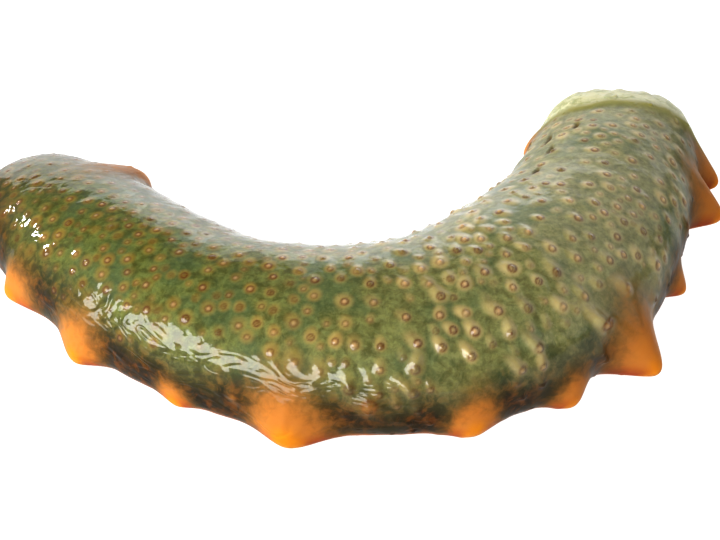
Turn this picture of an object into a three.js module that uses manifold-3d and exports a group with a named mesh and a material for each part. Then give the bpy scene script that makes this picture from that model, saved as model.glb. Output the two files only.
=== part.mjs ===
// A spiky green sea cucumber at life size, lying curled in an open arc on its flat sole.
// Millimetres, +Z up. The body is lofted along a bent centreline that runs from the head (left, -X)
// to the tail (right, +X). The hollow of the arc faces +Y. Large cone-shaped papillae stand along both
// flanks, small warts cover the back, and three bands of tube feet carry the body on flat discs.
import * as THREE from "three";
import { mergeVertices } from "three/addons/utils/BufferGeometryUtils.js";
import Module from "manifold-3d";

const wasm = await Module();
wasm.setup();

// Driving dimensions
const LENGTH = 200; // along the centreline
const MIDDLE_HEADING = 0.076; // radians from +X, half way along
const BENDS = [-0.6, 0.7, 3.1, 4.0, 4.2, 0.9, 2.6]; // radians turned per body length, head to tail
const HALF_WIDTHS = [14, 17.5, 18.7, 20.6, 21.6, 19.2, 16.6]; // head to tail, before the ends are rounded
const HEIGHTS = [14, 19.5, 22.4, 24.7, 26.4, 23.8, 20.4];
const WIDEST_HEIGHT = 0.4; // share of the height at which the body is widest
const SOLE_LIFT = 0.8; // the tube feet hold the sole this far off the floor
const SOLE_FLATNESS = 3.6; // exponent of the under half's rounded box
const HEAD_ROUNDING = 16; // length over which each end closes
const TAIL_ROUNDING = 12;
const END_SHARE = 0.3; // how much of the section is left at each end face
const END_DROP = 0.12; // the end faces sit this share of the height lower
const MIDDLE_PLACE = [4.81, -26.26]; // where the centreline's middle lies, so that the box is centred
const CUT_GAP = 0.3;

const RINGS = 56;
const SIDES = 24;
const SPINE_STEPS = 400;
const OUTER = 0; // angle round the section: outer flank, back, inner flank, sole
const BACK = Math.PI / 2;
const INNER = Math.PI;

// Lengths of the body, each its own node, and where along it each one ends
const LENGTHS = [
  ["head_end", 0.165],
  ["front_length", 0.38],
  ["middle_length", 0.595],
  ["rear_length", 0.755],
  ["hind_length", 0.925],
  ["tail_end", 1],
];

// The large papillae: share of the length, flank, base radius, reach of the tip beyond the flank
const HORNS = [
  { at: 0.065, side: OUTER, base: 5, reach: 3 },
  { at: 0.153, side: OUTER, base: 5.5, reach: 1.7 },
  { at: 0.26, side: OUTER, base: 6.5, reach: 2.2 },
  { at: 0.352, side: OUTER, base: 4.5, reach: -0.3 },
  { at: 0.438, side: OUTER, base: 8, reach: 2.1 },
  { at: 0.555, side: OUTER, base: 6.5, reach: 0.3 },
  { at: 0.623, side: OUTER, base: 5, reach: 1.2 },
  { at: 0.682, side: OUTER, base: 7, reach: 6 },
  { at: 0.77, side: OUTER, base: 4, reach: 2.2 },
  { at: 0.885, side: OUTER, base: 5.5, reach: 6 },
  { at: 0.937, side: OUTER, base: 4.5, reach: 5.1 },
  { at: 0.108, side: INNER, base: 7, reach: 4.6, height: 9 },
  { at: 0.205, side: INNER, base: 4, reach: 3 },
  { at: 0.31, side: INNER, base: 4.5, reach: 4 },
  { at: 0.42, side: INNER, base: 4, reach: 3.2 },
  { at: 0.53, side: INNER, base: 4.5, reach: 3.5 },
  { at: 0.64, side: INNER, base: 4, reach: 3 },
  { at: 0.74, side: INNER, base: 4.5, reach: 4 },
  { at: 0.83, side: INNER, base: 4, reach: 3 },
  { at: 0.91, side: INNER, base: 4, reach: 1.8, height: 8 },
];
const HORN_TIP = 1.9; // radius of a papilla's blunt tip
const HORN_TIP_HEIGHT = 3; // most tips hang to just above the floor
const HORN_SIDES = 9;

const WART_PITCH = 8.3;
const WART_RADIUS = 1.8;
const WART_HEIGHT = 1.3;
const WART_SINK = 1;

const FOOT_RADIUS = 0.9;
const FOOT_PITCH = 7.5;
const FOOT_BANDS = [-0.62, -0.5, 0, 0.5, 0.62]; // shares of the half width

const MOUTH_RADIUS = 3.4;
const MOUTH_DEPTH = 2.2;
const TENTACLES = 10;
const MOUTH_TILT = -0.35; // the mouth looks a little towards the floor
const VENT_RADIUS = 2.2;
const VENT_DEPTH = 3;

const SKIN_COLOUR = 0x5d6b3c;
const MOUTH_COLOUR = 0xa8824a;

// A seeded random draw, so that each build is the same
let seed = 20;
function random() {
  seed = (seed * 1664525 + 1013904223) % 4294967296;
  return seed / 4294967296;
}

// Smooth value of an evenly spaced list at t from 0 to 1
function smoothAt(list, t) {
  const x = THREE.MathUtils.clamp(t, 0, 1) * (list.length - 1);
  const i = Math.min(Math.floor(x), list.length - 2);
  const u = x - i;
  const at = (k) => list[THREE.MathUtils.clamp(k, 0, list.length - 1)];
  const [a, b, c, d] = [at(i - 1), at(i), at(i + 1), at(i + 2)];
  return b + 0.5 * u * (c - a + u * (2 * a - 5 * b + 4 * c - d + u * (3 * (b - c) + d - a)));
}

// The centreline on the floor: place and heading at even steps, laid out from the middle both ways
function layOutSpine() {
  const middle = SPINE_STEPS / 2;
  const step = LENGTH / SPINE_STEPS;
  const spine = new Array(SPINE_STEPS + 1);
  spine[middle] = { x: MIDDLE_PLACE[0], y: MIDDLE_PLACE[1], heading: MIDDLE_HEADING };
  for (const way of [1, -1]) {
    for (let i = middle; i !== (way > 0 ? SPINE_STEPS : 0); i += way) {
      const from = spine[i];
      const turn = (smoothAt(BENDS, (i + way / 2) / SPINE_STEPS) / SPINE_STEPS) * way;
      const mean = from.heading + turn / 2;
      spine[i + way] = {
        x: from.x + Math.cos(mean) * step * way,
        y: from.y + Math.sin(mean) * step * way,
        heading: from.heading + turn,
      };
    }
  }
  return spine;
}
const SPINE = layOutSpine();

function spineAt(s) {
  const x = THREE.MathUtils.clamp(s, 0, 1) * SPINE_STEPS;
  const i = Math.min(Math.floor(x), SPINE_STEPS - 1);
  const [a, b] = [SPINE[i], SPINE[i + 1]];
  const mix = (key) => THREE.MathUtils.lerp(a[key], b[key], x - i);
  return { x: mix("x"), y: mix("y"), heading: mix("heading") };
}

// How far a section is open, from END_SHARE at an end face to 1 past the rounding
function openness(s) {
  const fromHead = Math.min(1, (s * LENGTH) / HEAD_ROUNDING);
  const fromTail = Math.min(1, ((1 - s) * LENGTH) / TAIL_ROUNDING);
  const round = (t) => Math.sqrt(1 - (1 - t) ** 2);
  return END_SHARE + (1 - END_SHARE) * Math.min(round(fromHead), round(fromTail));
}

// A point of the body's surface: s along it, angle round the section, scale from its axis to its skin
function bodyPoint(s, angle, scale = 1) {
  const { x, y, heading } = spineAt(s);
  const open = openness(s);
  const half = smoothAt(HALF_WIDTHS, s) * open;
  const fullHeight = smoothAt(HEIGHTS, s);
  const height = fullHeight * open;
  const bottom = SOLE_LIFT + (fullHeight - height) * (0.5 - END_DROP);
  const widest = bottom + height * WIDEST_HEIGHT;
  const [c, d] = [Math.cos(angle), Math.sin(angle)];
  const box = (v) => Math.sign(v) * Math.pow(Math.abs(v), 2 / SOLE_FLATNESS);
  const across = half * (d >= 0 ? c : box(c));
  const up = d >= 0 ? (height - height * WIDEST_HEIGHT) * d : height * WIDEST_HEIGHT * box(d);
  return new THREE.Vector3(
    x + Math.sin(heading) * across * scale,
    y - Math.cos(heading) * across * scale,
    widest + up * scale,
  );
}

function bodyNormal(s, angle) {
  const e = 0.004;
  const along = bodyPoint(s + e, angle).sub(bodyPoint(s - e, angle));
  const round = bodyPoint(s, angle + 5 * e).sub(bodyPoint(s, angle - 5 * e));
  return along.cross(round).normalize();
}

function solidOf(geometry) {
  const bare = geometry.clone();
  bare.deleteAttribute("normal");
  bare.deleteAttribute("uv");
  const merged = mergeVertices(bare, 1e-4);
  return new wasm.Manifold(
    new wasm.Mesh({
      numProp: 3,
      vertProperties: merged.attributes.position.array,
      triVerts: new Uint32Array(merged.index.array),
    }),
  );
}

function geometryOf(solid) {
  const mesh = solid.getMesh();
  const geometry = new THREE.BufferGeometry();
  geometry.setAttribute("position", new THREE.BufferAttribute(mesh.vertProperties, 3));
  geometry.setIndex(new THREE.BufferAttribute(mesh.triVerts, 1));
  geometry.computeVertexNormals();
  return geometry;
}

const largest = (solid) =>
  solid.decompose().reduce((a, b) => (b.volume() > a.volume() ? b : a));

// The bare body: a cylinder whose every vertex is moved onto the lofted skin
function bareBody() {
  const tube = new THREE.CylinderGeometry(1, 1, 1, SIDES, RINGS);
  const place = tube.attributes.position;
  for (let i = 0; i < place.count; i++) {
    const s = place.getY(i) + 0.5;
    // ring spacing is closer where the ends round off
    const eased = s - (0.55 * Math.sin(4 * Math.PI * s)) / (4 * Math.PI);
    const even = 0.5 - 0.5 * Math.cos(Math.PI * s);
    const along = THREE.MathUtils.lerp(even, eased, 0.45);
    const angle = Math.atan2(place.getZ(i), place.getX(i));
    const point = bodyPoint(along, angle, Math.hypot(place.getX(i), place.getZ(i)));
    place.setXYZ(i, point.x, point.y, point.z);
  }
  return solidOf(tube);
}

// Stands a lathe shape, turned about +Y, at a place so that its +Y points along a direction
function standOn(geometry, place, direction) {
  const turn = new THREE.Quaternion().setFromUnitVectors(new THREE.Vector3(0, 1, 0), direction);
  geometry.applyQuaternion(turn);
  geometry.translate(place.x, place.y, place.z);
  return solidOf(geometry);
}

// A flank papilla: a flared cone with a blunt tip, its root sunk in the flank
function horn({ at, side, base, reach, height = HORN_TIP_HEIGHT }) {
  const root = bodyPoint(at, side, 0.7);
  const skin = bodyPoint(at, side);
  const outward = bodyNormal(at, side).setZ(0).normalize();
  const tip = skin.clone().addScaledVector(outward, reach - HORN_TIP * 0.9).setZ(height);
  const axis = tip.clone().sub(root);
  const long = axis.length();
  const sunk = skin.distanceTo(root) * 0.8;
  const flare = [0, 0.3, 0.65, 1].map((t) => {
    const radius = HORN_TIP + (base - HORN_TIP) * Math.pow(1 - t, 1.3);
    return new THREE.Vector2(radius, sunk + (long - sunk) * t);
  });
  const profile = [
    new THREE.Vector2(0, 0),
    new THREE.Vector2(base * 0.9, 0),
    ...flare,
    new THREE.Vector2(HORN_TIP * 0.6, long + HORN_TIP * 0.7),
    new THREE.Vector2(0, long + HORN_TIP * 0.9),
  ];
  return standOn(new THREE.LatheGeometry(profile, HORN_SIDES), root, axis.normalize());
}

// A small wart: a low five-sided dome
function wart(s, angle, size) {
  const profile = [
    new THREE.Vector2(0, -WART_SINK),
    new THREE.Vector2(WART_RADIUS * size, -WART_SINK * 0.5),
    new THREE.Vector2(WART_RADIUS * size * 0.5, WART_HEIGHT * size * 0.85),
    new THREE.Vector2(0, WART_HEIGHT * size),
  ];
  return standOn(new THREE.LatheGeometry(profile, 5), bodyPoint(s, angle), bodyNormal(s, angle));
}

// Warts in staggered rows over the back and flanks, larger down the flanks, clear of the papillae
function warts() {
  const made = [];
  const rows = Math.round(LENGTH / WART_PITCH);
  for (let row = 1; row < rows - 1; row++) {
    const s = (row + 0.5) / rows;
    const arc = smoothAt(HALF_WIDTHS, s) * openness(s) * 3.7;
    const count = Math.round(arc / WART_PITCH);
    for (let k = 0; k < count; k++) {
      const spot = (k + (row % 2) * 0.5 + 0.25 + (random() - 0.5) * 0.4) / count;
      const angle = THREE.MathUtils.lerp(-0.3, INNER + 0.3, spot);
      const along = s + ((random() - 0.5) * 0.45 * WART_PITCH) / LENGTH;
      const low = Math.pow(Math.abs(Math.cos(angle)), 3);
      const size = 0.75 + 0.4 * random() + 0.35 * low;
      const nearHorn = HORNS.some((h) => {
        const away = Math.abs(along - h.at) * LENGTH;
        return away < h.base * 0.75 && Math.abs(angle - h.side) < 0.5;
      });
      if (!nearHorn) made.push(wart(along, angle, size));
    }
  }
  return made;
}

// Tube feet: short stubs that end in flat discs on the floor
function tubeFeet() {
  const made = [];
  const tall = SOLE_LIFT + 1.2;
  const count = Math.floor((LENGTH * 0.84) / FOOT_PITCH);
  for (let i = 0; i < count; i++) {
    for (const [k, band] of FOOT_BANDS.entries()) {
      if ((i + k) % 2 && band !== 0) continue;
      const s = 0.08 + (0.84 * (i + 0.5)) / count;
      const { x, y, heading } = spineAt(s);
      const across = band * smoothAt(HALF_WIDTHS, s);
      const foot = new THREE.CylinderGeometry(FOOT_RADIUS * 0.7, FOOT_RADIUS, tall, 6);
      foot.rotateX(Math.PI / 2);
      foot.translate(x + Math.sin(heading) * across, y - Math.cos(heading) * across, tall / 2);
      made.push(solidOf(foot));
    }
  }
  return made;
}

// The middle of an end face and the way it points
function endFace(s) {
  const { heading } = spineAt(s);
  const way = s < 0.5 ? -1 : 1;
  const tilt = s < 0.5 ? MOUTH_TILT : 0;
  return {
    centre: bodyPoint(s, BACK, 0),
    outward: new THREE.Vector3(Math.cos(heading) * way, Math.sin(heading) * way, tilt).normalize(),
  };
}

// A dish sunk in an end face
function endDish(s, radius, depth) {
  const { centre, outward } = endFace(s);
  const dish = new THREE.SphereGeometry(1, 12, 8).scale(radius, depth, radius);
  return standOn(dish, centre, outward);
}

// The mouth: a disc with a ring of feeding tentacles drawn in, seated in the head's dish
function mouth() {
  const { centre, outward } = endFace(0);
  const seat = centre.clone().addScaledVector(outward, -MOUTH_DEPTH * 0.55);
  const core = new THREE.SphereGeometry(1, 10, 6)
    .scale(MOUTH_RADIUS * 0.55, MOUTH_DEPTH * 0.3, MOUTH_RADIUS * 0.55);
  const pieces = [standOn(core, seat, outward)];
  const sideways = new THREE.Vector3(-outward.y, outward.x, 0).normalize();
  const upward = outward.clone().cross(sideways);
  for (let i = 0; i < TENTACLES; i++) {
    const turn = (2 * Math.PI * i) / TENTACLES;
    const place = seat.clone().addScaledVector(outward, MOUTH_DEPTH * 0.18);
    place.addScaledVector(sideways, Math.cos(turn) * MOUTH_RADIUS * 0.45);
    place.addScaledVector(upward, Math.sin(turn) * MOUTH_RADIUS * 0.45);
    pieces.push(standOn(new THREE.SphereGeometry(MOUTH_RADIUS * 0.17, 5, 4), place, outward));
  }
  return largest(wasm.Manifold.union(pieces));
}

// The whole animal, then each length cut from it by the planes across the centreline
function crossPlane(s) {
  const { x, y, heading } = spineAt(s);
  const normal = [Math.cos(heading), Math.sin(heading), 0];
  return { normal, offset: x * normal[0] + y * normal[1] };
}

function cutLength(whole, from, to) {
  let piece = whole;
  if (from > 0) {
    const { normal, offset } = crossPlane(from);
    piece = piece.trimByPlane(normal, offset + CUT_GAP / 2);
  }
  if (to < 1) {
    const { normal, offset } = crossPlane(to);
    piece = piece.trimByPlane(normal.map((v) => -v), CUT_GAP / 2 - offset);
  }
  return largest(piece);
}

const grown = wasm.Manifold.union([bareBody(), ...HORNS.map(horn), ...warts(), ...tubeFeet()]);
const whole = largest(grown)
  .subtract(endDish(0, MOUTH_RADIUS, MOUTH_DEPTH))
  .subtract(endDish(1, VENT_RADIUS, VENT_DEPTH));

const cucumber = new THREE.Group();
function addNode(name, solid, colour) {
  const material = new THREE.MeshStandardMaterial({ color: colour, roughness: 0.25, metalness: 0 });
  const mesh = new THREE.Mesh(geometryOf(solid), material);
  mesh.name = name;
  cucumber.add(mesh);
}

let from = 0;
for (const [name, to] of LENGTHS) {
  addNode(name, cutLength(whole, from, to), SKIN_COLOUR);
  from = to;
}
addNode("mouth_tentacles", mouth(), MOUTH_COLOUR);

export default cucumber;
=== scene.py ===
import math
import random

import bpy
import numpy as np
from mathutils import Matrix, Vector


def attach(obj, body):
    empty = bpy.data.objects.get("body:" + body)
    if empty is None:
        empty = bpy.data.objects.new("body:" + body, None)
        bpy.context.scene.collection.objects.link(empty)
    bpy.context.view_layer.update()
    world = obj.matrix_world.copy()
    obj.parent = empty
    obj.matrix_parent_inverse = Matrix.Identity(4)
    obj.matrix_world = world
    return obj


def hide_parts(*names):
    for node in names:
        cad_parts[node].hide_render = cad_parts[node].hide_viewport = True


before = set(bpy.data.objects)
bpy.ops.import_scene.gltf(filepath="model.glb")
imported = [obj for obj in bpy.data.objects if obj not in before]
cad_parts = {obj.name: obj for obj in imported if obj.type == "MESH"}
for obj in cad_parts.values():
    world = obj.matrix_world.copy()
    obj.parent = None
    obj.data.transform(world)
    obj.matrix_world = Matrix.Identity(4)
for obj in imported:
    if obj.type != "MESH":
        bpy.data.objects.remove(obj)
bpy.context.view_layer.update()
bpy.context.scene.view_settings.view_transform = "Standard"
bpy.context.scene.view_settings.look = "High Contrast"

MM = 0.001
FULL_TURN = 2 * math.pi

# The body's driving sizes, the same as the solids'
LENGTH = 200
MIDDLE_HEADING = 0.076
BENDS = [-0.6, 0.7, 3.1, 4.0, 4.2, 0.9, 2.6]
HALF_WIDTHS = [14, 17.5, 18.7, 20.6, 21.6, 19.2, 16.6]
HEIGHTS = [14, 19.5, 22.4, 24.7, 26.4, 23.8, 20.4]
WIDEST_HEIGHT = 0.4
SOLE_LIFT = 0.8
SOLE_FLATNESS = 3.6
HEAD_ROUNDING = 16
TAIL_ROUNDING = 12
END_SHARE = 0.3
END_DROP = 0.12
MIDDLE_PLACE = [4.81, -26.26]
SPINE_STEPS = 400

# Angles round the body: none at the outer flank, a quarter turn on the back, half a turn at the
# inner flank
OUTER = 0.0
INNER = math.pi

# Broad lumps of the soft body: width in mm, height in mm, seed. Faint folds run across them.
LUMPS = [(17, 0.495, 1), (8, 0.252, 2)]
FOLD_PITCH = 3.2
FOLDS_ROUND = 1.5
FOLD_HEIGHT = 0.1
FOLD_SEED = 3

# The large papillae: share of the length, flank, base radius, reach of the tip beyond the flank
# and height of the tip above the floor
HORN_TIP_HEIGHT = 3
HORNS = [
    (0.065, OUTER, 5, 3, HORN_TIP_HEIGHT),
    (0.153, OUTER, 5.5, 1.7, HORN_TIP_HEIGHT),
    (0.26, OUTER, 6.5, 2.2, HORN_TIP_HEIGHT),
    (0.352, OUTER, 4.5, -0.3, HORN_TIP_HEIGHT),
    (0.438, OUTER, 8, 2.1, HORN_TIP_HEIGHT),
    (0.555, OUTER, 6.5, 0.3, HORN_TIP_HEIGHT),
    (0.623, OUTER, 5, 1.2, HORN_TIP_HEIGHT),
    (0.682, OUTER, 7, 6, HORN_TIP_HEIGHT),
    (0.77, OUTER, 4, 2.2, HORN_TIP_HEIGHT),
    (0.885, OUTER, 5.5, 6, HORN_TIP_HEIGHT),
    (0.937, OUTER, 4.5, 5.1, HORN_TIP_HEIGHT),
    (0.108, INNER, 7, 4.6, 9),
    (0.205, INNER, 4, 3, HORN_TIP_HEIGHT),
    (0.31, INNER, 4.5, 4, HORN_TIP_HEIGHT),
    (0.42, INNER, 4, 3.2, HORN_TIP_HEIGHT),
    (0.53, INNER, 4.5, 3.5, HORN_TIP_HEIGHT),
    (0.64, INNER, 4, 3, HORN_TIP_HEIGHT),
    (0.74, INNER, 4.5, 4, HORN_TIP_HEIGHT),
    (0.83, INNER, 4, 3, HORN_TIP_HEIGHT),
    (0.91, INNER, 4, 1.8, 8),
]
HORN_TIP = 1.9
HORN_FOOT = 1.5  # radius of the foot, against the base radius
HORN_CLIMB = 1.6  # how much further the foot reaches up the flank
HORN_DROP = 0.85  # and how far down
HORN_TAPER = 1.9
FRONT_SHARE = 0.2
FRONT_LEAN = 0.019  # the front papillae's feet lie this share of the length behind their tips

# Small ringed papillae low on the outer flank: share of the length, angle, size
LOW_PAPILLAE = [(0.489, 0.16, 1.9), (0.4, 0.08, 1.2), (0.655, 0.35, 1.4), (0.8, 0.25, 1.3)]

# Creases on the inner shoulder near the tail, darkened with painted shade: share of the length,
# angle, length in mm
CREASES = [(0.85, 2.3, 2.4), (0.818, 2.14, 1.6), (0.765, 2.1, 1.6), (0.872, 2.0, 1.2)]
CREASE_DEPTH = 0.9

# Warts. The coarse ones stand where the solids' warts stand, and finer ones fill the room between.
WART_PITCH = 8.3
WART_ARC = 3.7  # arc of the body that the coarse warts cover, against its half width
WART_DIP = 0.3  # how far below the flanks' widest line they reach, in radians
COARSE_SEED = 20
FINE_DIP = 0.75
FINE_FROM = 0.015
FINE_TO = 0.95
FINE_TRIES = 9000
SMALL_FROM = 5000  # the tries after this one place the smallest warts
ROOM = 3.0
SMALL_ROOM = 2.1
FINE_SEED = 4
CLUSTER_SIZE = 9
CLUSTER_SEED = 12
CLUSTERED = (0.3, 0.6)  # from spread evenly to clustered, in shares of the length
THINNED_FROM = 0.66
THINNED_BY = 0.45
FINGERS = (0.36, 0.58)  # from flat spots to low fingers
LOWERED = (0.62, 0.75)  # from full to half height
WART_SEED = 9

# The mouth and the vent: the hollow, and the puckers round it. Heights and depths are in mm, and
# radii, places and widths are against the radius of the end face.
MOUTH = {
    "radius": 0.82,
    "depth": 2.0,
    "puckers": 18,
    "height": 0.22,
    "at": 1.05,
    "width": 0.35,
    "turn": 0,
}
VENT = {
    "radius": 0.42,
    "depth": 2.6,
    "puckers": 11,
    "height": 0.2,
    "at": 0.75,
    "width": 0.4,
    "turn": 1,
}

# The pale cap over the tail end
CAP_START = 0.931
CAP_SLANT = 0.014
CAP_WAVER = 0.004
CAP_EDGE_SEED = 6
CAP_WAVE_SEED = 8
CAP_STREAKS = 14
CAP_FOLD = 0.22
CAP_WRINKLE = 0.17
CAP_CORNER = 0.9

LEAST_SKIN_HEIGHT = 0.45

# Tube feet: places across the sole as shares of its half width
FOOT_PITCH = 7.5
FOOT_BANDS = [-0.62, -0.5, 0, 0.5, 0.62]
FOOT_RADIUS = 0.9
SMALL_FOOT_BANDS = [-0.56, -0.06, 0.06, 0.56]
SMALL_FOOT_ROWS = 60
FOOT_SIDES = 14
FOOT_SEED = 31

# The mouth's tentacles
TENTACLES = 20
TENTACLE_RING = 1.35
BUDS = 5
TENTACLE_SEED = 77

# How fine the skin is
SIDES = 420
RING_STEP = 0.26
MERIDIAN_STEPS = 4000
END_FACE_STEPS = 40
END_CROWDING = 0.65
POLE_OPENNESS = 0.004
CORNER_RADIUS = 1.6
NOISE_CELLS = 64

# Colours as they look on a screen, 0 to 255
PAINT = {
    "dark green": (62, 63, 25),
    "green": (88, 94, 46),
    "rear grey and sheen": (122, 119, 84),
    "teal": (62, 80, 56),
    "net": (36, 46, 20),
    "head painted shade": (50, 46, 12),
    "front halo": (138, 108, 46),
    "rear halo": (164, 148, 108),
    "wart ring and crease shade": (70, 28, 14),
    "wart middle": (168, 128, 100),
    "flank brown and shade": (26, 16, 5),
    "flank rust": (78, 42, 8),
    "flank grey": (40, 38, 20),
    "flank rim glow": (170, 92, 16),
    "papilla foot": (104, 74, 30),
    "papilla tan": (136, 92, 46),
    "papilla pale tan": (152, 98, 42),
    "papilla rust": (98, 34, 2),
    "papilla orange": (130, 50, 2),
    "papilla tip": (174, 108, 14),
    "papilla edge glow": (176, 108, 20),
    "cap border": (116, 112, 58),
    "cap": (134, 136, 98),
    "pale cap": (166, 164, 134),
    "speck": (34, 26, 12),
    "foot": (150, 100, 52),
    "pale foot": (206, 164, 110),
}

CAMERA_HEIGHT_ANGLE = 40
CAMERA_DISTANCE = 310
CAMERA_AIM = (1.61, 5.74)
LENS = 75

# Light panels: name, bearing from +Y towards +X and height angle in degrees, distance, width and
# height in metres, brightness
PANELS = [
    ("key_light", -133, 31, 0.8, 1.2, 0.32, 13.5),
    ("back_light", 4, 10.5, 1.2, 1.9, 0.5, 1.5),
    ("right_light", 55, 34, 1.0, 3.2, 0.85, 1.25),
    ("spark_light", -62, 25, 0.8, 0.05, 0.045, 150),
]
WORLD_BRIGHTNESS = 0.12
TABLE_SIZE = 6
TABLE_COLOUR = (0.24, 0.24, 0.24, 1)
TABLE_GLOW = 0.66


# The body's bare form

def smooth_at(values, t):
    """Smooth value of an evenly spaced list at t from 0 to 1."""
    values = np.asarray(values, float)
    x = np.clip(t, 0, 1) * (len(values) - 1)
    i = np.minimum(np.floor(x).astype(int), len(values) - 2)
    u = x - i
    last = len(values) - 1
    a = values[np.clip(i - 1, 0, last)]
    b = values[i]
    c = values[i + 1]
    d = values[np.clip(i + 2, 0, last)]
    return b + 0.5 * u * (c - a + u * (2 * a - 5 * b + 4 * c - d + u * (3 * (b - c) + d - a)))


def smooth_step(low, high, x):
    """Smooth rise from 0 at low to 1 at high. It falls instead where low is above high."""
    t = np.clip((x - low) / (high - low), 0, 1)
    return t * t * (3 - 2 * t)


def bell(x, width):
    """Smooth bump of height 1 at x = 0."""
    return np.exp(-((x / width) ** 2))


def unit(v):
    """Vectors of length 1."""
    return v / np.maximum(np.linalg.norm(v, axis=-1, keepdims=True), 1e-9)


def lay_out_spine():
    """Place and heading of the centreline at even steps, laid out from the middle both ways."""
    middle = SPINE_STEPS // 2
    step = LENGTH / SPINE_STEPS
    spine = np.zeros((SPINE_STEPS + 1, 3))
    spine[middle] = (MIDDLE_PLACE[0], MIDDLE_PLACE[1], MIDDLE_HEADING)
    for way in (1, -1):
        i = middle
        while i != (SPINE_STEPS if way > 0 else 0):
            x, y, heading = spine[i]
            turn = float(smooth_at(BENDS, (i + way / 2) / SPINE_STEPS)) / SPINE_STEPS * way
            mean = heading + turn / 2
            spine[i + way] = (
                x + math.cos(mean) * step * way,
                y + math.sin(mean) * step * way,
                heading + turn,
            )
            i += way
    return spine


SPINE = lay_out_spine()


def spine_at(s):
    """Place and heading of the centreline at a share of the length."""
    grid = np.linspace(0, 1, SPINE_STEPS + 1)
    s = np.clip(s, 0, 1)
    return [np.interp(s, grid, SPINE[:, k]) for k in range(3)]


def openness(s):
    """How far a section is open, from END_SHARE at an end face to 1 past the rounding."""
    from_head = np.clip(s * LENGTH / HEAD_ROUNDING, 0, 1)
    from_tail = np.clip((1 - s) * LENGTH / TAIL_ROUNDING, 0, 1)
    least = np.minimum(np.sqrt(1 - (1 - from_head) ** 2), np.sqrt(1 - (1 - from_tail) ** 2))
    return END_SHARE + (1 - END_SHARE) * least


def half_width_at(s):
    """Half the body's width at a share of the length, with the rounding of the ends."""
    return float(smooth_at(HALF_WIDTHS, s)) * float(openness(s))


def body_point(s, angle, opened=None):
    """A point of the body's bare surface, as an array with x, y and z last."""
    x, y, heading = spine_at(s)
    if opened is None:
        opened = openness(s)
    half = smooth_at(HALF_WIDTHS, s) * opened
    full = smooth_at(HEIGHTS, s)
    height = full * opened
    bottom = SOLE_LIFT + (full - height) * (0.5 - END_DROP)
    widest = bottom + height * WIDEST_HEIGHT
    c = np.cos(angle)
    d = np.sin(angle)
    # the upper half is half an ellipse, and the lower half a rounded box
    box_c = np.sign(c) * np.abs(c) ** (2 / SOLE_FLATNESS)
    box_d = np.sign(d) * np.abs(d) ** (2 / SOLE_FLATNESS)
    across = half * np.where(d >= 0, c, box_c)
    up = np.where(d >= 0, height * (1 - WIDEST_HEIGHT) * d, height * WIDEST_HEIGHT * box_d)
    return np.stack(
        [x + np.sin(heading) * across, y - np.cos(heading) * across, widest + up], axis=-1
    )


def body_normal(s, angle):
    """The direction straight out of the bare surface."""
    share_step = 0.004
    turn_step = 0.02
    along = body_point(s + share_step, angle) - body_point(s - share_step, angle)
    around = body_point(s, angle + turn_step) - body_point(s, angle - turn_step)
    return unit(np.cross(along, around))


noise_tables = {}


def lattice_noise(points, cell, seed):
    """Smooth noise from -1 to 1 with lumps about one cell wide."""
    if seed not in noise_tables:
        rng = np.random.default_rng(seed)
        noise_tables[seed] = rng.uniform(-1, 1, (NOISE_CELLS, NOISE_CELLS, NOISE_CELLS))
    table = noise_tables[seed]
    q = points / cell
    base = np.floor(q).astype(int)
    f = q - base
    f = f * f * (3 - 2 * f)
    total = 0
    for i in (0, 1):
        for j in (0, 1):
            for k in (0, 1):
                near = (base + (i, j, k)) % NOISE_CELLS
                weight = f[..., 0] if i else 1 - f[..., 0]
                weight = weight * (f[..., 1] if j else 1 - f[..., 1])
                weight = weight * (f[..., 2] if k else 1 - f[..., 2])
                total = total + table[near[..., 0], near[..., 1], near[..., 2]] * weight
    return total


# The skin's grid: rings along a meridian that runs over the head's end face, along the body and
# over the tail's end face

def ease(x):
    """Crowd evenly spaced shares towards both ends."""
    return 0.5 - 0.5 * np.cos(np.pi * x)


def soften_corners(share, opened):
    """Round the corner between each end face and the flank."""
    reach = int(CORNER_RADIUS / RING_STEP)
    pad = 3 * reach
    kernel = np.exp(-0.5 * (np.arange(-pad, pad + 1) / reach) ** 2)
    kernel /= kernel.sum()
    mirrored = np.concatenate([-opened[pad:0:-1], opened, -opened[-2 : -pad - 2 : -1]])
    soft = np.convolve(mirrored, kernel, "valid")
    near_end = np.clip((12 - np.minimum(share, 1 - share) * LENGTH) / 8, 0, 1)
    return opened * (1 - near_end) + soft * near_end


def lay_out_rings():
    """Share of the length and openness of each ring, evenly spaced along the surface."""
    end_face = np.linspace(0, END_SHARE, END_FACE_STEPS)[:-1]
    s = ease(np.linspace(0, 1, MERIDIAN_STEPS))
    s = (1 - END_CROWDING) * s + END_CROWDING * ease(s)
    share = np.concatenate([np.zeros(len(end_face)), s, np.ones(len(end_face))])
    opened = np.concatenate([end_face, openness(s), end_face[::-1]])
    wide = smooth_at(HALF_WIDTHS, share) * opened
    run = np.hypot(np.diff(share * LENGTH), np.diff(wide))
    run = np.concatenate([[0], np.cumsum(run)])
    even = np.linspace(0, run[-1], int(run[-1] / RING_STEP))
    share = np.interp(even, run, share)
    opened = soften_corners(share, np.interp(even, run, opened))
    opened[0] = POLE_OPENNESS
    opened[-1] = POLE_OPENNESS
    return share, np.clip(opened, POLE_OPENNESS, 1)


def grid_normals(points):
    """The direction out of the surface at each point of the grid."""
    along = np.gradient(points, axis=0)
    around = np.roll(points, -1, 1) - np.roll(points, 1, 1)
    return unit(np.cross(along, around))


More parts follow.
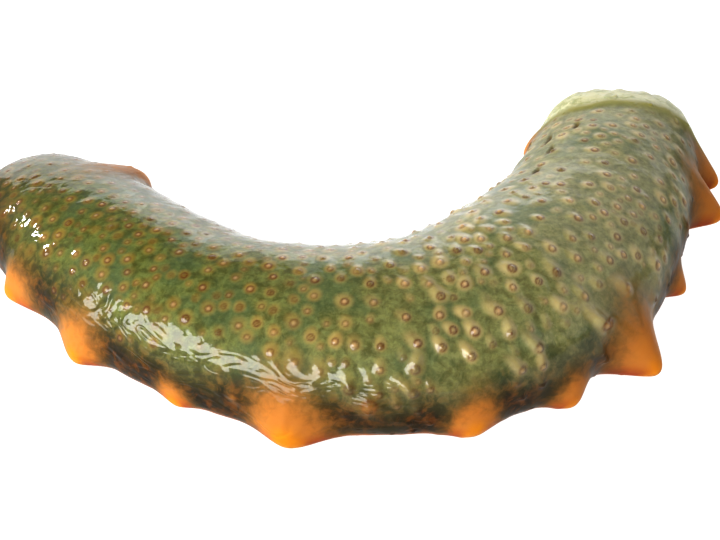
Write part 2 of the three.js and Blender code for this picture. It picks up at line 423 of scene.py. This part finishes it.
ring_share, ring_open = lay_out_rings()
RINGS = len(ring_share)
ring_angles = np.linspace(0, FULL_TURN, SIDES, endpoint=False) - math.pi / 2
share_grid = np.repeat(ring_share[:, None], SIDES, 1)
open_grid = np.repeat(ring_open[:, None], SIDES, 1)
angle_grid = np.repeat(ring_angles[None, :], RINGS, 0)
bare = body_point(share_grid, angle_grid, open_grid)
normals = grid_normals(bare)

# What the steps below add up: how far each point of the skin moves, and where its marks lie
shift = np.zeros_like(bare)
masks = {}
for mask_name in ("halo", "ring", "pit", "horn", "tip", "pale"):
    masks[mask_name] = np.zeros((RINGS, SIDES))


def window(s, angle, radius):
    """Rows and columns of the grid near a place on the skin."""
    row = int(np.argmin(np.abs(ring_share - s)))
    rows = int(radius / RING_STEP * 1.5) + 2
    low = max(0, row - rows)
    high = min(RINGS, row + rows + 1)
    columns = int(radius / max(half_width_at(s) * 0.55, 2) / FULL_TURN * SIDES) + 3
    columns = min(columns, SIDES // 2 - 1)
    middle = int(round((angle + math.pi / 2) / FULL_TURN * SIDES))
    cols = np.arange(middle - columns, middle + columns + 1) % SIDES
    return slice(low, high), cols


def local(s, angle, radius):
    """The window round a place, with each point's offsets along, round and out of the skin."""
    centre = body_point(s, angle)
    out = body_normal(s, angle)
    heading = float(spine_at(s)[2])
    along = np.array([math.cos(heading), math.sin(heading), 0.0])
    along = unit(along - out * along.dot(out))
    around = np.cross(out, along)
    rows, cols = window(s, angle, radius)
    rel = bare[rows][:, cols] - centre
    return rows, cols, rel @ along, rel @ around, rel @ out, out


def move_at(rows, cols, move):
    """Move the skin in a window."""
    block = shift[rows]
    block[:, cols] += move
    shift[rows] = block


def mark_at(mask, rows, cols, value):
    """Raise a mask in a window to at least a value."""
    block = masks[mask][rows]
    block[:, cols] = np.maximum(block[:, cols], value)
    masks[mask][rows] = block


def swell(direction, amount):
    """Move the whole skin along a direction."""
    shift[...] += direction * amount[..., None]


def make_lumps():
    """Broad lumps and folds of the soft body, weak on the sole and at the ends."""
    rise = sum(height * lattice_noise(bare, width, seed) for width, height, seed in LUMPS)
    folds_along = share_grid * LENGTH / FOLD_PITCH
    fold_place = np.stack([folds_along, angle_grid * FOLDS_ROUND, 0 * share_grid], -1)
    rise = rise + FOLD_HEIGHT * lattice_noise(fold_place, 1, FOLD_SEED)
    upper = np.clip((bare[..., 2] - 2) / 4, 0, 1)
    from_ends = np.clip(np.minimum(share_grid, 1 - share_grid) * LENGTH / 14, 0, 1)
    swell(normals, rise * upper * (0.35 + 0.65 * from_ends))


def grow_horn(at, side, base, reach, height, seed):
    """Pull the skin out to the tip of a large papilla and mark it for the paint."""
    outer = side == OUTER
    outward = body_normal(at, side)
    outward[2] = 0
    tip = body_point(at, side) + unit(outward) * reach
    tip[2] = height + 0.2
    if outer and at < FRONT_SHARE:
        at = at + FRONT_LEAN
    # the papilla grows from the skin that lies nearest to its tip's height
    turns = np.linspace(-0.2, 0.75, 40) * (-1 if outer else 1)
    heights = body_point(np.full(40, at), side + turns)[:, 2]
    lowered = side + float(turns[np.argmin(np.abs(heights - (height + 1.2)))])
    rows, cols, u, v, w, out = local(at, lowered, base * 3.2)
    rise = v if outer else -v
    wobble = 1 + 0.07 * np.sin(3 * np.arctan2(rise, u) + random.Random(seed).uniform(0, 6))
    rise = np.where(rise > 0, np.hypot(rise, np.minimum(w, 0)) / HORN_CLIMB, rise / HORN_DROP)
    foot = base * HORN_FOOT
    r = np.hypot(u, rise) / (foot * wobble)
    blunt = max(HORN_TIP, 0.42 * base) / foot
    soft = np.sqrt(r * r + blunt * blunt)
    near_side = np.abs(w) < base * 2.2
    lift = near_side * np.clip((1 - soft) / (1 - blunt), 0, 1) ** HORN_TAPER
    pull = tip - body_point(at, lowered)
    move_at(rows, cols, pull * lift[..., None])
    fade = 1.05 * foot / (foot + 0.9 * max(reach, 0))
    mark_at("horn", rows, cols, near_side * np.clip(1 - r * fade, 0, 1) * (1 if outer else 0.8))
    mark_at("tip", rows, cols, lift)


class Draw:
    """The solids' seeded random draw."""

    def __init__(self, seed):
        self.seed = seed

    def __call__(self):
        self.seed = (self.seed * 1664525 + 1013904223) % 4294967296
        return self.seed / 4294967296


def near_horn(s, angle, clear, turn):
    """Whether a place lies on a large papilla, within a share of its base radius and a turn."""
    return any(
        abs(s - at) * LENGTH < base * clear and abs(angle - side) < turn
        for at, side, base, reach, height in HORNS
    )


def coarse_wart_places():
    """Share of the length, angle and size of the warts that the solids have too."""
    draw = Draw(COARSE_SEED)
    places = []
    rows = round(LENGTH / WART_PITCH)
    for row in range(1, rows - 1):
        s = (row + 0.5) / rows
        count = int(half_width_at(s) * WART_ARC / WART_PITCH + 0.5)
        for k in range(count):
            spot = (k + (row % 2) * 0.5 + 0.25 + (draw() - 0.5) * 0.4) / count
            angle = (INNER + 2 * WART_DIP) * spot - WART_DIP
            along = s + (draw() - 0.5) * 0.45 * WART_PITCH / LENGTH
            size = 0.75 + 0.4 * draw() + 0.35 * abs(math.cos(angle)) ** 3
            if not near_horn(along, angle, 0.75, 0.5):
                places.append((along, angle, size))
    return places


def fine_wart_places(taken):
    """More warts dropped wherever there is room between the others, in loose clusters."""
    rng = random.Random(FINE_SEED)
    points = [body_point(s, angle) for s, angle, size in taken]
    places = []
    for attempt in range(FINE_TRIES):
        s = rng.uniform(FINE_FROM, FINE_TO)
        angle = rng.uniform(-FINE_DIP, INNER + FINE_DIP)
        small = attempt > SMALL_FROM
        here = body_point(s, angle)
        crowd = float(lattice_noise(here[None, :], CLUSTER_SIZE, CLUSTER_SEED)[0])
        # away from the head the warts stand in clusters, and nearer the tail many places stay empty
        extra = 1.3 * smooth_step(*CLUSTERED, s) * (0.5 - crowd)
        room = (SMALL_ROOM if small else ROOM) + extra
        gaps = np.linalg.norm(np.array(points) - here, axis=1)
        if gaps.min() < room or (s > THINNED_FROM and rng.random() < THINNED_BY):
            continue
        if near_horn(s, angle, 0.8, 0.55):
            continue
        points.append(here)
        size = rng.uniform(0.25, 0.5) if small else rng.uniform(0.55, 0.95)
        places.append((s, angle, size))
    return places


def wart_form(s, angle, size, rng):
    """Width, length, height and heading of a wart, how strongly it shows, and how far back it is."""
    rear = smooth_step(*FINGERS, s)
    near_tail = smooth_step(*LOWERED, s)
    under = smooth_step(0.12, -0.3, math.sin(angle))
    shoulder = rear * smooth_step(0.78, 0.66, s) * smooth_step(1.0, 0.45, angle)
    bare_flank = (1 - rear) * smooth_step(0.75, 0.45, angle)
    width = (1.2 + 0.4 * rng.random()) * (0.55 + 0.5 * size)
    long = width * (1.1 + rear * (0.35 + 0.6 * rng.random()) + 1.3 * shoulder * size)
    long = long * (1 - 0.2 * near_tail)
    tall = (0.08 + 0.07 * rng.random() + 0.36 * rear + 0.45 * shoulder) * size
    tall = tall * (1 - 0.75 * under) * (1 - 0.7 * bare_flank) * (1 - 0.5 * near_tail)
    shown = 1 - 0.85 * bare_flank if rng.random() < 0.85 else 1.0
    # a wart points down the nearer flank and a little tailwards
    down = -1.0 if angle < 1.9 else 1.0
    turn = math.atan2(down, 0.3) + rng.uniform(-0.6, 0.6) * (1 + near_tail)
    return width, long, tall, turn, shown, rear


def grow_wart(s, angle, size, rng):
    """A flat ringed spot near the head, a low finger with a ringed end towards the tail."""
    width, long, tall, turn, shown, rear = wart_form(s, angle, size, rng)
    rows, cols, u, v, w, out = local(s, angle, max(long, width) * 2.1 + 0.8)
    near_side = np.abs(w) < long * 1.6 + 1
    # x runs towards the finger's end
    x = u * math.cos(turn) + v * math.sin(turn)
    y = v * math.cos(turn) - u * math.sin(turn)
    behind = np.clip(-x, 0, None) / (long * 0.75)
    ahead = np.clip(x, 0, None) / (width * 0.62)
    mound = np.exp(-((y / (width * 0.62)) ** 2) - behind ** 2 - ahead ** 2)
    r = np.hypot(x - width * 0.1, y)
    ring_radius = 0.34 + (0.26 + 0.08 * rear) * size
    groove = bell(r - ring_radius, ring_radius * 0.38)
    bead = bell(r, ring_radius * 0.62)
    rim = (0.05 + 0.05 * rear) * size * shown
    move_at(rows, cols, out * ((tall * mound + rim * (bead - groove)) * near_side)[..., None])
    strength = shown * (0.45 + 0.55 * rng.random()) * min(1, size * 1.5)
    mark_at("ring", rows, cols, groove * near_side * strength)
    # some warts are brown all over, the others have a pale middle
    middle = "ring" if rng.random() < 0.3 else "pit"
    strength = shown * (0.5 + 0.5 * rng.random()) * min(1, size * 1.4)
    mark_at(middle, rows, cols, bead * near_side * strength)
    wide = width * (0.85 + 0.15 * rng.random())
    spread = np.hypot(np.where(x < 0, x / (long * 0.9), x / wide), y / wide)
    strength = shown * (0.4 + 0.6 * rng.random()) * min(1, 0.3 + size)
    mark_at("halo", rows, cols, smooth_step(1.5, 0.55, spread) * near_side * strength)


def grow_low_papilla(s, angle, size):
    """A small ringed papilla low on the outer flank."""
    rows, cols, u, v, w, out = local(s, angle, 7)
    r = np.hypot(u, v)
    spread = r / (2.6 * size)
    move_at(rows, cols, out * (0.5 * size * bell(spread, 0.45))[..., None])
    mark_at("horn", rows, cols, 0.5 * np.clip(1 - spread, 0, 1))
    mark_at("ring", rows, cols, bell(r - 0.62 * size, 0.3))
    mark_at("pit", rows, cols, 0.6 * bell(r, 0.4 * size))


def cut_crease(s, angle, long):
    """A slightly curved crease along the body, darkened with painted shade."""
    rows, cols, u, v, w, out = local(s, angle, 8)
    groove = bell(u, long) * bell(v - 0.12 * u * u / long, 0.5)
    move_at(rows, cols, out * (-CREASE_DEPTH * groove)[..., None])
    # the wart rings' dark brown in the groove: painted shade
    mark_at("ring", rows, cols, groove)


def end_direction(end):
    """The direction straight out of the head's or the tail's end face."""
    heading = SPINE[end, 2]
    way = -1 if end == 0 else 1
    return way * np.array([math.cos(heading), math.sin(heading), 0.0])


def hollow_end(end, opening):
    """Sink the mouth or the vent into its end face, with puckers round it."""
    from_end = share_grid if end == 0 else 1 - share_grid
    radius = open_grid / END_SHARE
    hollow = np.sqrt(np.clip(1 - (radius / opening["radius"]) ** 2, 0, 1))
    folds = opening["height"] * np.cos(opening["puckers"] * angle_grid + opening["turn"])
    folds = folds * bell(radius - opening["at"], opening["width"])
    swell(end_direction(end), bell(from_end * LENGTH, 3.0) * (folds - opening["depth"] * hollow))


def lay_cap():
    """A smooth pale cap over the tail end, with a low fold at its edge and a wrinkled face."""
    over = np.clip(np.sin(angle_grid) * 1.3 + 0.4, 0, 1)
    edge = CAP_START + CAP_SLANT * np.cos(angle_grid)
    past = share_grid - edge - CAP_WAVER * lattice_noise(bare, 5, CAP_EDGE_SEED)
    for name in ("halo", "ring", "pit"):
        masks[name] *= 1 - smooth_step(-0.02, 0.0, past) * over
    # darker streaks run inwards to the vent
    wave = 2.5 * lattice_noise(bare, 7, CAP_WAVE_SEED)
    inward = smooth_step(0.2, 0.8, 1 - open_grid)
    streaks = 0.4 + 0.5 * (0.5 + 0.5 * np.cos(CAP_STREAKS * angle_grid + wave))
    masks["pale"] = smooth_step(-0.016, 0.022, past) * over * (1 - inward * streaks)
    wrinkles = np.cos(19 * angle_grid + wave) + 0.5 * np.cos(31 * angle_grid - wave)
    wrinkles = wrinkles * smooth_step(0.945, 0.985, share_grid) * np.clip(open_grid * 1.6 - 0.1, 0, 1)
    fold = bell(past * LENGTH, 1.2) * over * open_grid
    # the cap's two shoulders stand out a little
    corners = bell(angle_grid - 2.3, 0.4) + 0.8 * bell(angle_grid - 0.85, 0.4)
    corners = corners * smooth_step(0.915, 0.95, share_grid) * np.clip((open_grid - 0.35) / 0.4, 0, 1)
    swell(normals, CAP_WRINKLE * wrinkles + CAP_FOLD * fold + CAP_CORNER * corners)


make_lumps()
for number, horn_row in enumerate(HORNS):
    grow_horn(*horn_row, number)
coarse_warts = coarse_wart_places()
wart_rng = random.Random(WART_SEED)
for wart_row in coarse_warts + fine_wart_places(coarse_warts):
    grow_wart(*wart_row, wart_rng)
for papilla_row in LOW_PAPILLAE:
    grow_low_papilla(*papilla_row)
for crease_row in CREASES:
    cut_crease(*crease_row)
hollow_end(0, MOUTH)
hollow_end(-1, VENT)
lay_cap()

skin_points = bare + shift
skin_points[..., 2] = np.maximum(skin_points[..., 2], LEAST_SKIN_HEIGHT)


# Meshes

def mesh_object(name, points, quads, triangles=()):
    """A smooth mesh from points in millimetres."""
    mesh = bpy.data.meshes.new(name)
    quads = np.asarray(quads, np.int32).reshape(-1, 4)
    triangles = np.asarray(triangles, np.int32).reshape(-1, 3)
    sizes = np.concatenate([np.full(len(quads), 4), np.full(len(triangles), 3)]).astype(np.int32)
    corners = np.concatenate([quads.ravel(), triangles.ravel()])
    starts = np.concatenate([[0], np.cumsum(sizes)[:-1]]).astype(np.int32)
    mesh.vertices.add(len(points))
    mesh.vertices.foreach_set("co", (np.asarray(points, np.float32) * MM).ravel())
    mesh.loops.add(len(corners))
    mesh.loops.foreach_set("vertex_index", corners)
    mesh.polygons.add(len(sizes))
    mesh.polygons.foreach_set("loop_start", starts)
    mesh.polygons.foreach_set("use_smooth", np.ones(len(sizes), bool))
    mesh.update(calc_edges=True)
    mesh.validate()
    obj = bpy.data.objects.new(name, mesh)
    bpy.context.scene.collection.objects.link(obj)
    return obj


def skin_mesh():
    """The skin's grid as a closed mesh. A small fan closes each pole."""
    row = np.arange(RINGS - 1)[:, None]
    col = np.arange(SIDES)[None, :]
    here = row * SIDES + col
    beside = row * SIDES + (col + 1) % SIDES
    quads = np.stack([here, here + SIDES, beside + SIDES, beside], -1).reshape(-1, 4)
    head_pole = RINGS * SIDES
    tail_pole = head_pole + 1
    last_ring = (RINGS - 1) * SIDES
    fans = []
    for k in range(SIDES):
        after = (k + 1) % SIDES
        fans.append((k, after, head_pole))
        fans.append((last_ring + after, last_ring + k, tail_pole))
    poles = [skin_points[0].mean(0), skin_points[-1].mean(0)]
    return mesh_object("skin", np.concatenate([skin_points.reshape(-1, 3), poles]), quads, fans)


def store_marks(mesh):
    """Masks and body coordinates for the skin's paint. The two poles carry zeros."""
    for name, values in masks.items():
        layer = mesh.attributes.new(name, "FLOAT", "POINT")
        data = np.concatenate([np.clip(values, 0, 1).ravel(), np.zeros(2)])
        layer.data.foreach_set("value", data.astype(np.float32))
    around = angle_grid * smooth_at(HALF_WIDTHS, share_grid) * 0.9
    coords = np.stack([share_grid * LENGTH, around, bare[..., 2]], -1).reshape(-1, 3)
    coords = np.concatenate([coords, np.zeros((2, 3))])
    place = mesh.attributes.new("place", "FLOAT_VECTOR", "POINT")
    place.data.foreach_set("vector", coords.astype(np.float32).ravel())


# Materials

def paint(name):
    """A named colour in linear light."""
    def linear(c):
        c = c / 255
        return c / 12.92 if c <= 0.04045 else ((c + 0.055) / 1.055) ** 2.4
    return tuple(linear(part) for part in PAINT[name]) + (1.0,)


class Nodes:
    """Short calls for building a node material."""

    def __init__(self, name):
        self.material = bpy.data.materials.new(name)
        self.material.use_nodes = True
        self.tree = self.material.node_tree
        self.inputs = self.tree.nodes["Principled BSDF"].inputs

    def put(self, socket, value):
        if isinstance(value, bpy.types.NodeSocket):
            self.tree.links.new(value, socket)
        else:
            socket.default_value = value

    def set(self, **values):
        """Set or link the shader's inputs."""
        for key, value in values.items():
            self.put(self.inputs[key.replace("_", " ")], value)

    def attribute(self, name, kind="Fac"):
        node = self.tree.nodes.new("ShaderNodeAttribute")
        node.attribute_name = name
        return node.outputs[kind]

    def split(self, vector):
        node = self.tree.nodes.new("ShaderNodeSeparateXYZ")
        self.put(node.inputs[0], vector)
        return node.outputs

    def object_mm(self):
        """The object's own coordinates in millimetres."""
        node = self.tree.nodes.new("ShaderNodeTexCoord")
        return self.scaled(node.outputs["Object"], (1000, 1000, 1000))

    def math(self, operation, a, b=0.0):
        node = self.tree.nodes.new("ShaderNodeMath")
        node.operation = operation
        self.put(node.inputs[0], a)
        self.put(node.inputs[1], b)
        return node.outputs[0]

    def times(self, a, b):
        return self.math("MULTIPLY", a, b)

    def plus(self, a, b):
        return self.math("ADD", a, b)

    def span(self, value, low, high, to_low=0.0, to_high=1.0):
        """Smooth change from to_low where the value is low to to_high where it is high."""
        node = self.tree.nodes.new("ShaderNodeMapRange")
        node.interpolation_type = "SMOOTHSTEP"
        for socket, number in zip(node.inputs[:5], (value, low, high, to_low, to_high)):
            self.put(socket, number)
        return node.outputs[0]

    def mix(self, share, a, b):
        """Colour a, with a share of colour b laid over it. Colours are sockets or names."""
        node = self.tree.nodes.new("ShaderNodeMix")
        node.data_type = "RGBA"
        self.put(node.inputs[0], share)
        self.put(node.inputs[6], paint(a) if isinstance(a, str) else a)
        self.put(node.inputs[7], paint(b) if isinstance(b, str) else b)
        return node.outputs[2]

    def noise(self, vector, scale, detail=3.0, roughness=0.5, distortion=0.0):
        node = self.tree.nodes.new("ShaderNodeTexNoise")
        self.put(node.inputs["Vector"], vector)
        node.inputs["Scale"].default_value = scale
        node.inputs["Detail"].default_value = detail
        node.inputs["Roughness"].default_value = roughness
        node.inputs["Distortion"].default_value = distortion
        return node.outputs["Fac"]

    def scaled(self, vector, factors):
        node = self.tree.nodes.new("ShaderNodeMapping")
        self.put(node.inputs["Vector"], vector)
        node.inputs["Scale"].default_value = factors
        return node.outputs[0]

    def bump(self, height, strength, distance):
        node = self.tree.nodes.new("ShaderNodeBump")
        self.put(node.inputs["Height"], height)
        node.inputs["Strength"].default_value = strength
        node.inputs["Distance"].default_value = distance
        return node.outputs[0]


def skin_material():
    """Wet skin: mottled greens, ringed warts, brown low flanks, orange papillae and a pale cap, with
    painted shade, sheen and glow.
    """
    n = Nodes("wet_skin")
    place = n.attribute("place", "Vector")
    along, around, up = n.split(place)
    fine = n.object_mm()
    mottle = n.noise(fine, 0.5, 5, 0.62, 0.5)
    cloud = n.noise(fine, 0.085, 3, 0.5)
    grain = n.noise(fine, 2.6, 3, 0.6)
    net = n.noise(fine, 1.1, 4, 0.65, 0.3)

    # the back: mottled green, greyer towards the tail, partly its own tone and partly a painted milky
    # sheen, with teal clouds and a dark net
    colour = n.mix(n.span(mottle, 0.34, 0.64), "dark green", "green")
    paler_and_sheen = n.times(n.span(along, 45, 150), n.span(mottle, 0.3, 0.7, 0.4, 0.9))
    colour = n.mix(paler_and_sheen, colour, "rear grey and sheen")
    colour = n.mix(n.times(n.span(cloud, 0.52, 0.36), 0.45), colour, "teal")
    colour = n.mix(n.span(net, 0.6, 0.42, 0, 0.22), colour, "net")
    # darker olive towards the head end: painted shade
    colour = n.mix(n.span(along, 44, 12, 0, 0.4), colour, "head painted shade")

    # warts: a yellow-olive halo, a brown ring and a pale middle
    halo_colour = n.mix(n.span(along, 60, 140), "front halo", "rear halo")
    halo = n.times(n.attribute("halo"), n.span(along, 60, 110, 0.5, 0.72))
    colour = n.mix(halo, colour, halo_colour)
    # the ring mask also carries the painted shade in the creases near the tail
    colour = n.mix(n.times(n.attribute("ring"), 0.88), colour, "wart ring and crease shade")
    colour = n.mix(n.times(n.attribute("pit"), 0.6), colour, "wart middle")

    # the low flank: deep brown with rusty clouds, its darkness partly painted shade, and a thin
    # orange rim near the floor that is a painted glow
    low = n.span(n.plus(up, n.times(cloud, 9.0)), 23.5, 14.0)
    low_colour_and_shade = n.mix(n.span(mottle, 0.42, 0.66), "flank brown and shade", "flank rust")
    low_colour_and_shade = n.mix(n.span(cloud, 0.5, 0.62, 0, 0.45), low_colour_and_shade, "flank grey")
    colour = n.mix(n.times(low, 0.95), colour, low_colour_and_shade)
    # the orange rim near the floor: painted glow of light through the thin margin
    colour = n.mix(n.times(n.span(up, 5.6, 3.6), 0.8), colour, "flank rim glow")

    # large papillae: tan foot, orange side, yellow tip, and a yellow lower edge near the floor that
    # is a painted glow
    streak = n.times(n.math("SUBTRACT", mottle, 0.5), 0.35)
    horn = n.plus(n.attribute("horn"), streak)
    tip = n.plus(n.attribute("tip"), n.times(streak, 0.5))
    colour = n.mix(n.span(horn, 0.1, 0.5, 0, 0.5), colour, "papilla foot")
    upper = n.mix(n.span(tip, 0.1, 0.5), "papilla tan", "papilla pale tan")
    under = n.mix(n.span(tip, 0.1, 0.5), "papilla rust", "papilla orange")
    colour = n.mix(n.span(horn, 0.3, 0.68), colour, n.mix(n.span(up, 8.0, 3.5), upper, under))
    colour = n.mix(n.span(tip, 0.6, 0.95), colour, "papilla tip")
    # painted glow: a yellow-orange edge along the papillae's lowest part, next to the bright table
    edge = n.times(n.span(up, 4.4, 2.8), n.span(horn, 0.2, 0.5, 0, 0.7))
    colour = n.mix(edge, colour, "papilla edge glow")

    # the pale cap, then small dark specks on all but the papillae
    pale = n.attribute("pale")
    colour = n.mix(n.span(pale, 0.0, 0.45), colour, "cap border")
    cap = n.mix(n.span(mottle, 0.38, 0.6), "cap", "pale cap")
    colour = n.mix(n.span(pale, 0.4, 0.9), colour, cap)
    specks = n.times(n.span(grain, 0.7, 0.76), n.span(horn, 0.5, 0.2))
    colour = n.mix(n.times(specks, 0.7), colour, "speck")

    # the wet film is thinner on the low flank, on the papillae and towards the tail
    film = n.times(n.span(low, 0.2, 0.9, 1.0, 0.22), n.span(horn, 0.2, 0.6, 1.0, 0.45))
    film = n.times(film, n.span(along, 120, 175, 1.0, 0.28))

    # soft unevenness all over, and wavy wrinkles of the film on the front half's outer shoulder
    swirl = n.noise(n.scaled(place, (0.1, 0.16, 0.03)), 1.0, 2, 0.45, 0.5)
    shoulder = n.times(n.span(up, 6.0, 9.0), n.span(up, 19.0, 16.0))
    shoulder = n.times(shoulder, n.times(n.span(along, 112, 96), n.span(along, 38, 50)))
    lines = n.times(n.math("SINE", n.times(swirl, 52.0)), n.times(shoulder, 0.17))
    height = n.plus(n.times(n.noise(fine, 0.32, 2, 0.45, 0.3), 0.7), lines)
    height = n.plus(height, n.times(n.noise(fine, 3.2, 2), 0.012))
    relief = n.bump(height, 0.5, 0.0005)

    n.set(
        Base_Color=colour,
        Roughness=n.span(mottle, 0.3, 0.7, 0.42, 0.55),
        Subsurface_Weight=0.3,
        Subsurface_Radius=(0.6, 0.38, 0.14),
        Subsurface_Scale=0.002,
        Specular_IOR_Level=0.1,
        Coat_Weight=film,
        Coat_Roughness=0.03,
        Coat_IOR=1.3,
        Normal=relief,
        Coat_Normal=relief,
    )
    return n.material


def foot_material():
    """Wet pale brown flesh of the tube feet and tentacles."""
    n = Nodes("tube_foot")
    fine = n.object_mm()
    mottle = n.noise(fine, 0.9, 4, 0.6)
    n.set(
        Base_Color=n.mix(n.span(mottle, 0.3, 0.7), "foot", "pale foot"),
        Roughness=n.span(mottle, 0.3, 0.7, 0.25, 0.45),
        Subsurface_Weight=0.3,
        Subsurface_Radius=(1.0, 0.5, 0.2),
        Subsurface_Scale=0.001,
        Coat_Weight=1.0,
        Coat_Roughness=0.06,
        Normal=n.bump(n.noise(fine, 3.0, 3, 0.6), 0.4, 0.0002),
    )
    return n.material


def table_material():
    """Plain white that glows a little, so that the table stays pale where the light is weak."""
    n = Nodes("white_table")
    darker = tuple(0.97 * part for part in TABLE_COLOUR[:3]) + (1,)
    spot = n.tree.nodes.new("ShaderNodeTexCoord").outputs["Object"]
    tint = n.mix(n.noise(n.scaled(spot, (3, 3, 3)), 2.0, 2), TABLE_COLOUR, darker)
    n.set(
        Base_Color=tint,
        Roughness=0.6,
        Emission_Color=(1, 1, 1, 1),
        Emission_Strength=TABLE_GLOW,
    )
    return n.material


skin = skin_mesh()
store_marks(skin.data)
skin.data.materials.append(skin_material())
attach(skin, "root")
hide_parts("head_end", "front_length", "middle_length", "rear_length", "hind_length", "tail_end")


# Tube feet and tentacles, joined from small closed shapes

def lathe(profile, sides, centre, axis):
    """Points and faces of a profile of (radius, height) turned about an axis."""
    axis = unit(np.asarray(axis, float))
    helper = np.array([0.0, 0.0, 1.0]) if abs(axis[2]) < 0.9 else np.array([1.0, 0.0, 0.0])
    first = unit(np.cross(helper, axis))
    second = np.cross(axis, first)
    turn = np.linspace(0, FULL_TURN, sides, endpoint=False)
    circle = np.cos(turn)[:, None] * first + np.sin(turn)[:, None] * second
    points = np.concatenate([centre + axis * height + circle * radius for radius, height in profile])
    faces = []
    for i in range(len(profile) - 1):
        for k in range(sides):
            a = i * sides + k
            b = i * sides + (k + 1) % sides
            faces.append((a, b, b + sides, a + sides))
    return points, faces


class Pieces:
    """Turned shapes gathered into one mesh."""

    def __init__(self):
        self.points = []
        self.faces = []
        self.total = 0

    def grow(self, profile, sides, centre, axis):
        points, faces = lathe(profile, sides, centre, axis)
        self.points.append(points)
        self.faces.extend([tuple(corner + self.total for corner in face) for face in faces])
        self.total += len(points)

    def mesh(self, name):
        return mesh_object(name, np.concatenate(self.points), self.faces)


def foot_places():
    """Share of the length, place across the sole and radius of each tube foot."""
    rng = random.Random(FOOT_SEED)
    places = []
    count = math.floor(LENGTH * 0.84 / FOOT_PITCH)
    for i in range(count):
        for k, band in enumerate(FOOT_BANDS):
            # the side bands have two rows that take turns
            if (i + k) % 2 and band != 0:
                continue
            places.append((0.08 + 0.84 * (i + 0.5) / count, band, FOOT_RADIUS))
    for i in range(SMALL_FOOT_ROWS):
        for band in SMALL_FOOT_BANDS:
            s = 0.06 + 0.9 * (i + rng.uniform(-0.3, 0.3)) / SMALL_FOOT_ROWS
            places.append((s, band + rng.uniform(-0.05, 0.05), rng.uniform(0.45, 0.62)))
    return places


def tube_feet():
    """Short stalks under the sole, each with a sucking disc on the floor."""
    feet = Pieces()
    for s, band, radius in foot_places():
        x, y, heading = [float(value) for value in spine_at(s)]
        across = band * float(smooth_at(HALF_WIDTHS, s))
        centre = np.array([x + math.sin(heading) * across, y - math.cos(heading) * across, 0.0])
        profile = [
            (radius * 0.02, 0.04),
            (radius * 0.55, 0.03),
            (radius * 0.9, 0.0),
            (radius, 0.08),
            (radius * 0.92, 0.2),
            (radius * 0.66, 0.38),
            (radius * 0.7, 0.8),
            (radius * 0.95, 1.5),
        ]
        feet.grow(profile, FOOT_SIDES, centre, (0, 0, 1))
    return feet.mesh("tube_feet")


def mouth_tentacles():
    """A ring of short branched feeding tentacles, drawn in round the mouth."""
    rng = random.Random(TENTACLE_SEED)
    head_out = end_direction(0)
    tilt = unit(np.array([head_out[0], head_out[1], -0.35]))
    sideways = unit(np.cross(np.array([0.0, 0.0, 1.0]), tilt))
    upward = np.cross(tilt, sideways)
    seat = body_point(0.0, math.pi / 2, POLE_OPENNESS) - tilt * 1.25

    def round_axis(turn):
        return sideways * math.cos(turn) + upward * math.sin(turn)

    ring = Pieces()
    lip = [
        (0.01, 0.28),
        (0.5, 0.2),
        (0.75, 0.42),
        (1.2, 0.5),
        (1.7, 0.28),
        (1.85, -0.1),
        (1.2, -0.5),
        (0.02, -0.6),
    ]
    ring.grow(lip, 28, seat, tilt)
    stalk = [(0.17, -0.2), (0.16, 0.15), (0.15, 0.34), (0.01, 0.42)]
    bud = [(0.01, -0.1), (0.09, -0.04), (0.1, 0.04), (0.01, 0.12)]
    for i in range(TENTACLES):
        out = round_axis(FULL_TURN * (i + rng.uniform(-0.2, 0.2)) / TENTACLES)
        foot = seat + out * TENTACLE_RING + tilt * 0.25
        axis = unit(tilt + out * rng.uniform(0.0, 0.25))
        ring.grow(stalk, 8, foot, axis)
        for k in range(BUDS):
            spin = FULL_TURN * k / BUDS + rng.uniform(-0.3, 0.3)
            ring.grow(bud, 6, foot + axis * 0.36 + round_axis(spin) * 0.17, axis)
    return ring.mesh("oral_tentacles")


foot_paint = foot_material()
feet = tube_feet()
feet.data.materials.append(foot_paint)
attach(feet, "root")

mouth = mouth_tentacles()
mouth.data.materials.append(foot_paint)
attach(mouth, "root")
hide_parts("mouth_tentacles")


# Table, light and camera

bpy.ops.mesh.primitive_plane_add(size=TABLE_SIZE, location=(0, 0, 0))
table = bpy.context.object
table.name = "table"
table.data.materials.append(table_material())

world = bpy.data.worlds.new("studio")
bpy.context.scene.world = world
world.use_nodes = True
background = world.node_tree.nodes["Background"]
background.inputs["Color"].default_value = (1, 1, 1, 1)
background.inputs["Strength"].default_value = WORLD_BRIGHTNESS


def panel(name, bearing, height_angle, distance, width, height, brightness):
    """A soft light panel that faces the animal."""
    light = bpy.data.lights.new(name, "AREA")
    light.shape = "RECTANGLE"
    light.size = width
    light.size_y = height
    light.energy = brightness * math.pi * width * height
    obj = bpy.data.objects.new(name, light)
    b = math.radians(bearing)
    e = math.radians(height_angle)
    place = Vector((math.sin(b) * math.cos(e), math.cos(b) * math.cos(e), math.sin(e))) * distance
    obj.location = place
    obj.rotation_euler = (-place).to_track_quat("-Z", "Y").to_euler()
    bpy.context.scene.collection.objects.link(obj)


for panel_row in PANELS:
    panel(*panel_row)

camera_data = bpy.data.cameras.new("camera")
camera_data.lens = LENS
camera_data.sensor_width = 36
camera_data.clip_start = 0.01
camera = bpy.data.objects.new("camera", camera_data)
bpy.context.scene.collection.objects.link(camera)
look_down = math.radians(CAMERA_HEIGHT_ANGLE)
aim = Vector((CAMERA_AIM[0], CAMERA_AIM[1], 0)) * MM
camera.location = aim + Vector((0, -math.cos(look_down), math.sin(look_down))) * CAMERA_DISTANCE * MM
camera.rotation_euler = (aim - camera.location).to_track_quat("-Z", "Y").to_euler()
bpy.context.scene.camera = camera
